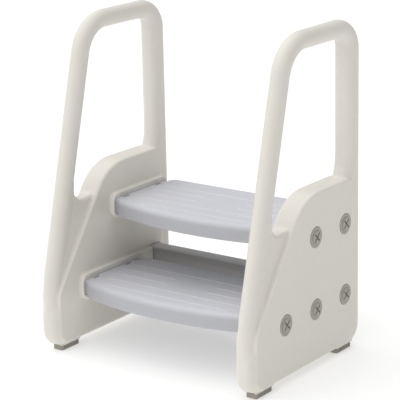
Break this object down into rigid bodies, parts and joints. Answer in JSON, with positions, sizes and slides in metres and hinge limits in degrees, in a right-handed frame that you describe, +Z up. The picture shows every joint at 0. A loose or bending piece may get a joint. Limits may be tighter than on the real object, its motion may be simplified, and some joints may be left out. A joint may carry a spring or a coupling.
{
  "type": "step stool",
  "caption": "Child's step stool with moulded side panels that rise into handrail hoops, ribbed treads, a rear crossbar, broad screws and rubber feet.",
  "frame": {"origin": "floor level, under the middle of the stool's footprint", "axes": "+X to the right seen from the front, +Y towards the back, +Z up"},
  "size_m": [0.468, 0.3448, 0.5932],
  "materials": {
    "panel_plastic": "warm off-white moulded polyethylene with a soft satin surface",
    "tread_plastic": "light cool-grey moulded plastic, satin, with raised grip lines on the walking face",
    "crossbar_plastic": "mid-grey moulded plastic, satin",
    "screw_plastic": "warm grey moulded plastic, satin",
    "nut_steel": "zinc-plated steel",
    "foot_rubber": "grey thermoplastic rubber, ribbed sides"
  },
  "bodies": {
    "root": {"left_side_panel": "panel_plastic", "right_side_panel": "panel_plastic", "lower_tread": "tread_plastic", "upper_tread": "tread_plastic", "rear_crossbar": "crossbar_plastic", "left_lower_front_screw": "screw_plastic", "left_lower_front_nut": "nut_steel", "left_lower_middle_screw": "screw_plastic", "left_lower_middle_nut": "nut_steel", "left_lower_rear_screw": "screw_plastic", "left_lower_rear_nut": "nut_steel", "left_upper_front_screw": "screw_plastic", "left_upper_front_nut": "nut_steel", "left_upper_rear_screw": "screw_plastic", "left_upper_rear_nut": "nut_steel", "left_front_foot": "foot_rubber", "left_rear_foot": "foot_rubber", "right_lower_front_screw": "screw_plastic", "right_lower_front_nut": "nut_steel", "right_lower_middle_screw": "screw_plastic", "right_lower_middle_nut": "nut_steel", "right_lower_rear_screw": "screw_plastic", "right_lower_rear_nut": "nut_steel", "right_upper_front_screw": "screw_plastic", "right_upper_front_nut": "nut_steel", "right_upper_rear_screw": "screw_plastic", "right_upper_rear_nut": "nut_steel", "right_front_foot": "foot_rubber", "right_rear_foot": "foot_rubber"}
  },
  "joints": []
}
